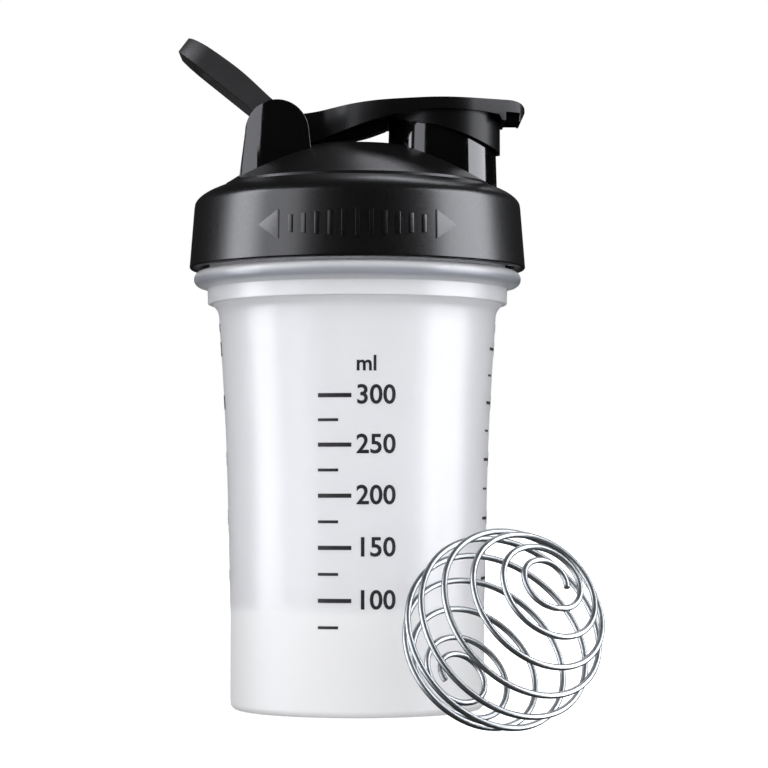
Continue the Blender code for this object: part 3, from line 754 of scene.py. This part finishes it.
def make_cap():
    cap = slab("flip_cap_moulding", cap_side_line(), -19.0, 19.0)
    plan = slab("cap_plan", cap_plan_line(), 146.0, 176.0, upright=False)
    shape(cap, plan, "keep")
    soften_edges(cap, 0.9, 4, 40)

    rib = flowing([(-18.0, 156.8), (-12.5, 156.2), (-9.0, 157.2), (-2.6, 157.8), (2.6, 158.9), (8.2, 160.9)], 5)
    rib = slab("arm_rib", rib + [(8.2, 163.4), (-9.0, 160.4), (-18.0, 159.2)], -5.0, 5.0)
    soften_edges(rib, 0.5, 3, 40)
    shape(cap, rib, "join")

    line = [(0.0, 150.0), (16.2, 150.0), (16.2, 166.4), (0.0, 166.4)]
    cup = turn_body("cap_cup", line, x=SPOUT_X, steps=144)
    edge = []
    for i in range(40):
        t = 1.15 * i / 39
        edge.append((SPOUT_X + (2 * t - 1) * 16.2, SPOUT_Z - 0.5 - 8.5 * t ** 1.7))
    edge = [(SPOUT_X - 20.0, SPOUT_Z - 0.5)] + edge + [(edge[-1][0], 140.0), (SPOUT_X - 20.0, 140.0)]
    shape(cup, slab("cup_edge", edge, -20.0, 20.0), "cut")
    shape(cap, cup, "join")
    line = [(0.0, 140.0), (15.2, 140.0), (15.2, 164.7, 0.5), (0.0, 164.7)]
    shape(cap, turn_body("cup_hollow", round_corners(line), x=SPOUT_X, steps=144), "cut")

    for y0, y1 in ((-12.5, -5.2), (-4.4, -0.4), (0.4, 4.4), (5.2, 12.5)):
        pocket = [(41.0, 158.0), (44.2, 158.0), (45.0, 164.7), (41.0, 164.7)]
        shape(cap, slab("tab_pocket", pocket, y0, y1), "cut")

    shape(cap, rod("cap_barrel", 5.2, -8.7, 8.7, HINGE_X, HINGE_Z, 64), "join")
    shape(cap, rod("cap_journal", 2.4, -15.8, 15.8, HINGE_X, HINGE_Z, 40), "join")
    finish_piece(cap, CAP_SATIN, "cap", "flip_cap", slot="cap_plastic", angle=28)
    return cap


def make_stopper():
    top, low = plug_high[2] / MM, plug_low[2] / MM
    line = [(0.0, top), (14.9, top, 0.3), (14.9, 163.1, 0.3), (11.8, 163.1, 0.3), (11.8, 160.6), (12.0, 160.0)]
    line += [(11.8, low + 0.6), (11.2, low, 0.2), (10.2, low, 0.3), (10.2, 163.1, 0.6), (0.0, 163.1)]
    plug = turn_body("spout_plug", round_corners(line), x=SPOUT_X, steps=96)
    finish_piece(plug, PLUG, "cap", "spout_stopper", slot="stopper_silicone")


# ------------------------------------------------------------------ carry loop

def make_loop():
    """Drawn along +X from the hinge with its crest down, then swung up and back."""
    end = 35.9
    crest = flowing([(0.0, -5.7), (6.8, -5.9), (17.7, -6.9), (28.2, -6.7), (35.2, -6.0)], 6)
    side = round_corners(
        crest[:-1] + [(end, -5.8, 0.6), (end, -1.0, 0.8), (25.0, -0.7), (9.0, -0.3, 6.0), (5.0, 1.8)]
    )
    side += bow(0.0, 0.0, 5.7, 50, 270, 36)[:-1]
    loop = slab("carry_loop_moulding", side, -14.0, 14.0)
    outer = [(-8.0, -12.4), (end, -12.4, 8.0), (end, 12.4, 8.0), (-8.0, 12.4)]
    plan = round_corners(outer, 6.0)
    shape(loop, slab("loop_plan", plan, -15.0, 15.0, upright=False), "keep")
    hole = [(-9.0, -9.0), (29.3, -9.0, 5.5), (29.3, 9.0, 5.5), (-9.0, 9.0)]
    shape(loop, slab("loop_hole", round_corners(hole, 8.0), -16.0, 16.0, upright=False), "cut")
    soften_edges(loop, 0.8, 4, 40)
    shape(loop, rod("loop_eye", 2.7, -15.0, 15.0, 0.0, 0.0), "cut")
    loop.matrix_world = Matrix.Translation(Vector((HINGE_X, 0, HINGE_Z)) * MM) @ Matrix.Rotation(
        -math.radians(142.7), 4, "Y"
    )
    take(loop)
    bpy.ops.object.transform_apply(location=True, rotation=True, scale=True)
    finish_piece(loop, LOOP_SATIN, "loop", "carry_loop", slot="loop_plastic", angle=30)
    return loop


# ------------------------------------------------------------------ whisk ball

def make_ball():
    radius, wire, half_turns, steps = 25.44, 0.8, 4, 72
    axis = Vector((0.447, -0.711, 0.542)).normalized()
    side = axis.cross(Vector((0, 0, 1))).normalized()
    up = side.cross(axis).normalized()
    reach = radius - wire
    first = math.asin(7.6 / reach)
    centre = Vector((36.5, -73.0, 25.5))
    count = int((half_turns + 0.8) * steps)
    points = []
    for i in range(-count, count + 1):
        turn = i / steps
        past = max(0.0, abs(turn) - half_turns)
        u = max(-1.0, min(1.0, turn / half_turns))
        tilt = (math.pi / 2 - first) * (1.08 * u - 0.08 * u**3)
        tilt += math.copysign(math.radians(7.5) * max(0.0, past - 0.15), u)
        far = reach * (1.0 - 0.09 * max(0.0, past - 0.15))
        around = math.radians(-90) - 2 * math.pi * turn
        ring = side * math.cos(around) + up * math.sin(around)
        points.append(centre + ring * (far * math.cos(tilt)) - axis * (far * math.sin(tilt)))
    low = min(p.z for p in points) - wire
    points = [p - Vector((0, 0, low - ball_low[2] / MM)) for p in points]
    ball = wire_through("whisk_ball_wire", points, wire, rounds=4)
    finish_piece(ball, STEEL, "ball", "whisk_ball", slot="ball_steel", angle=60)
    return ball


# ------------------------------------------------------------------ studio

def choose(tree, switch, off, on):
    """One of two levels, each a number or a socket."""
    mix = node(tree, "ShaderNodeMix")
    tree.links.new(switch, mix.inputs["Factor"])
    for key, level in (("A", off), ("B", on)):
        if isinstance(level, float):
            mix.inputs[key].default_value = level
        else:
            tree.links.new(level, mix.inputs[key])
    return mix.outputs["Result"]


def softbox(name, bearing, distance, width, height, z, glow, aim_z=0.12):
    """A soft light on a bearing in degrees from -Y towards +X; it only shows in glossy surfaces."""
    data = bpy.data.lights.new(name, "AREA")
    data.shape = "RECTANGLE"
    data.size, data.size_y = width, height
    data.energy = glow * math.pi * width * height
    light = bpy.data.objects.new(name, data)
    bpy.context.scene.collection.objects.link(light)
    a = math.radians(bearing)
    light.location = (distance * math.sin(a), -distance * math.cos(a), z)
    aim = Vector((0, 0, aim_z)) - light.location
    light.rotation_euler = aim.to_track_quat("-Z", "Y").to_euler()
    data.color = (0.93, 0.94, 1.0)
    light.visible_camera = False
    light.visible_diffuse = False
    light.visible_transmission = False
    return light


def make_studio():
    put_down()
    bpy.ops.mesh.primitive_plane_add(size=6.0, location=(0, 0, -0.0002))
    floor = bpy.context.object
    floor.name = "studio_floor"
    mat, tree, shader = new_finish("studio_white")
    shader.inputs["Base Color"].default_value = (0.95, 0.95, 0.95, 1)
    shader.inputs["Roughness"].default_value = 0.9
    shader.inputs["Emission Color"].default_value = (1, 1, 1, 1)
    shader.inputs["Emission Strength"].default_value = 0.5
    floor.data.materials.append(mat)
    floor.visible_glossy = False
    floor.visible_diffuse = False

    softbox("left_strip", -84, 1.0, 0.48, 1.4, 0.25, 9.0)
    softbox("left_fill", -50, 1.0, 0.42, 1.4, 0.25, 4.0)
    softbox("right_box", 80, 1.0, 0.84, 1.4, 0.25, 9.0)
    softbox("top_box", 161, 0.62, 0.34, 0.42, 0.82, 3.7, 0.15)

    world = bpy.data.worlds.new("studio_world")
    bpy.context.scene.world = world
    world.use_nodes = True
    tree = world.node_tree
    tree.nodes.clear()
    out = tree.nodes.new("ShaderNodeOutputWorld")
    back = tree.nodes.new("ShaderNodeBackground")
    back.inputs["Color"].default_value = (1, 1, 1, 1)
    coords = tree.nodes.new("ShaderNodeTexCoord")
    parts = tree.nodes.new("ShaderNodeSeparateXYZ")
    tree.links.new(coords.outputs["Generated"], parts.inputs["Vector"])
    aside = node(tree, "ShaderNodeMath", operation="ABSOLUTE")
    tree.links.new(parts.outputs["X"], aside.inputs[0])
    ray = tree.nodes.new("ShaderNodeLightPath")
    diffuse = spread(tree, aside.outputs["Value"], 1.86, 0.72, 0.2, 0.95)
    through = spread(tree, aside.outputs["Value"], 1.52, 0.44, 0.3, 0.95)
    low_down = spread(tree, parts.outputs["Z"], 0.40, 1.0, -0.5, 0.1)
    shaded = node(tree, "ShaderNodeMath", operation="MULTIPLY")
    tree.links.new(diffuse, shaded.inputs[0])
    tree.links.new(low_down, shaded.inputs[1])
    level = choose(tree, ray.outputs["Is Glossy Ray"], shaded.outputs["Value"], 0.012)
    level = choose(tree, ray.outputs["Is Transmission Ray"], level, through)
    level = choose(tree, ray.outputs["Is Camera Ray"], level, 1.0)
    tree.links.new(level, back.inputs["Strength"])
    tree.links.new(back.outputs["Background"], out.inputs["Surface"])

    bpy.context.scene.view_settings.view_transform = "Standard"
    data = bpy.data.cameras.new("studio_camera")
    data.lens = 124.0
    data.sensor_width = 36.0
    data.clip_start = 0.01
    camera = bpy.data.objects.new("studio_camera", data)
    bpy.context.scene.collection.objects.link(camera)
    camera.location = (0, -0.736, 0.0603)
    aim = Vector((0.0074, 0, 0.0898)) - camera.location
    camera.rotation_euler = aim.to_track_quat("-Z", "Y").to_euler()
    bpy.context.scene.camera = camera


make_jar()
make_prints()
make_lid()
make_turn_marks()
make_gasket()
make_cap()
make_stopper()
make_loop()
make_ball()
make_studio()
